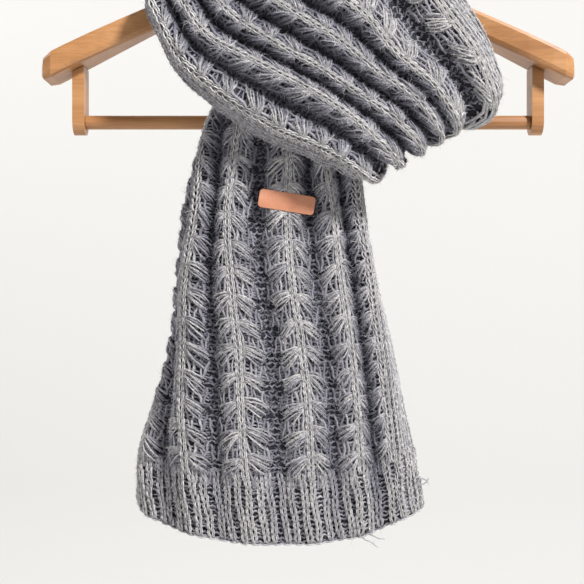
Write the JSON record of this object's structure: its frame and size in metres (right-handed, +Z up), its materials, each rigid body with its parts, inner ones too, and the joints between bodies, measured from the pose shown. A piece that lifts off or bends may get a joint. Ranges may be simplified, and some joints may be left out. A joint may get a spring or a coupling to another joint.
{
  "type": "knit scarf on a wooden coat hanger",
  "caption": "Chunky rib-knit scarf wound round the neck of a wooden coat hanger, its labelled end hanging in front and its plain end behind.",
  "frame": {"origin": "inside top of the hook's loop, where the hanger hangs on a rail", "axes": "+Z up, -Y to the front where the labelled end hangs, +X along the hanger to the viewer's right"},
  "size_m": [0.452, 0.1558, 0.5766],
  "materials": {
    "wool_knit": "brushed wool and mohair knit, mid grey",
    "label_leather": "smooth tan leather tag, bare",
    "hanger_wood": "satin varnish",
    "hook_steel": "polished wire"
  },
  "bodies": {
    "root": {"tail_front": "wool_knit", "over_right_arm": "wool_knit", "neck_back": "wool_knit", "over_left_arm": "wool_knit", "front_wrap": "wool_knit", "wrap_fold": "wool_knit", "return_over_arm": "wool_knit", "tail_back": "wool_knit", "label": "label_leather", "hanger_arms": "hanger_wood", "trouser_bar": "hanger_wood", "bar_bracket_left": "hanger_wood", "bar_bracket_right": "hanger_wood", "hook": "hook_steel"}
  },
  "joints": []
}
